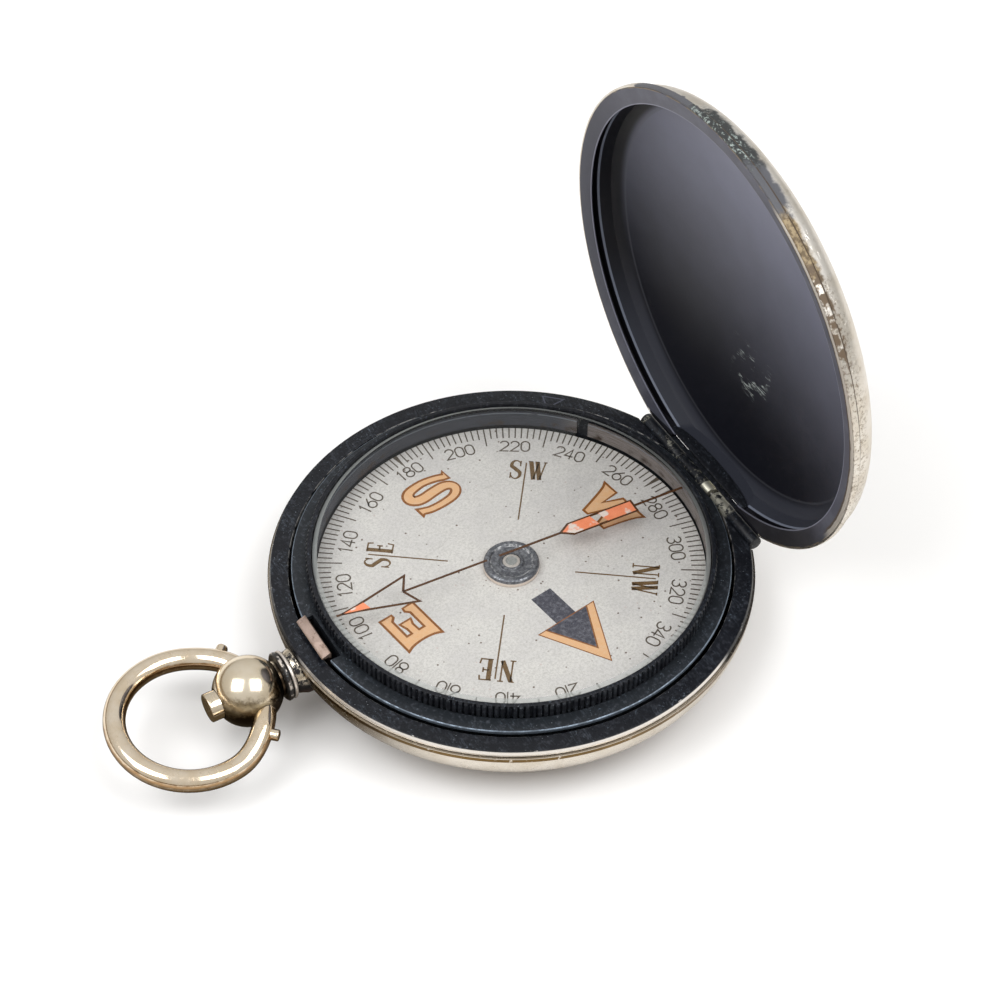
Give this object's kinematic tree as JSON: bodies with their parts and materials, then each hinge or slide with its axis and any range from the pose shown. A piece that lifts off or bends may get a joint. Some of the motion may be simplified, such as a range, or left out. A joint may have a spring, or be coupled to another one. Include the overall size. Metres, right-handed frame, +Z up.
{
  "type": "hunter-case marching compass",
  "caption": "Lidded pocket compass: domed case, hinged spring-open lid, turning bezel with a sighting glass, floating card on a needle, push-button lid catch and swivel bow.",
  "frame": {"origin": "centre of the flat back face of the case", "axes": "+Z up out of the back through the dial, +Y towards the lid's hinge, -Y towards the pendant and bow, +X to the right with the hinge away from the viewer"},
  "size_m": [0.0468, 0.0688, 0.0522],
  "materials": {
    "nickel_silver": "nickel silver, polished, worn and scratched",
    "black_lacquer": "black lacquer over metal, satin, rubbed at the edges",
    "tarnished_nickel": "polished nickel with brown tarnish in the recesses",
    "spring_steel": "blued and oiled spring steel",
    "brass": "plain turned brass",
    "glass": "clear flat glass with a bevelled edge",
    "card": "matt grey-white printed card on a thin disc",
    "hub_metal": "dull grey turned cap",
    "jewel": "polished mineral cup",
    "light_alloy": "plain light alloy strap"
  },
  "bodies": {
    "case": {"case_body": "nickel_silver", "front_ring": "black_lacquer", "compass_bowl": "black_lacquer", "bezel_friction_spring": "spring_steel", "pivot_seat": "brass", "pivot_needle": "spring_steel", "case_knuckle_left": "black_lacquer", "case_knuckle_right": "black_lacquer", "hinge_pin": "spring_steel", "lift_spring": "spring_steel", "lift_spring_screw": "spring_steel", "catch_spring": "spring_steel", "catch_spring_screw": "spring_steel", "pendant_neck": "nickel_silver", "pendant_collar": "tarnished_nickel", "pendant_ball": "tarnished_nickel"},
    "lid": {"lid_shell": "nickel_silver", "lid_rim_ring": "black_lacquer", "lid_knuckle": "black_lacquer"},
    "bezel": {"bezel_ring": "black_lacquer", "crystal": "glass", "crystal_retaining_ring": "spring_steel"},
    "card": {"dial_card": "card", "card_hub": "hub_metal", "jewel_cap": "jewel", "magnet_left": "spring_steel", "magnet_right": "spring_steel", "magnet_carrier": "light_alloy", "collet_nut": "brass"},
    "button": {"push_button": "tarnished_nickel"},
    "catch": {"lid_catch": "nickel_silver"},
    "bow": {"bow": "tarnished_nickel"}
  },
  "joints": [
    {"name": "lid_hinge", "type": "hinge", "parent": "case", "child": "lid", "pos_m": [0, 0.0215, 0.0077], "axis": [-1, 0, 0], "range_deg": [-87.3, 8]},
    {"name": "bezel_turn", "type": "hinge", "parent": "case", "child": "bezel", "pos_m": [0, 0, 0.009], "axis": [0, 0, 1], "continuous": true},
    {"name": "card_spin", "type": "hinge", "parent": "case", "child": "card", "pos_m": [0, 0, 0.0074], "axis": [0, 0, 1], "continuous": true},
    {"name": "bow_swivel", "type": "hinge", "parent": "case", "child": "bow", "pos_m": [0, -0.0282, 0.00545], "axis": [1, 0, 0], "range_deg": [-115, 115]},
    {"name": "button_press", "type": "slide", "parent": "case", "child": "button", "axis": [0, 1, 0], "range_m": [0, 0.00075]},
    {"name": "catch_release", "type": "slide", "parent": "case", "child": "catch", "axis": [0, 1, 0], "range_m": [0, 0.00075]}
  ],
  "couplings": [
    {"joint": "catch_release", "follows": "button_press", "ratio": 1}
  ]
}
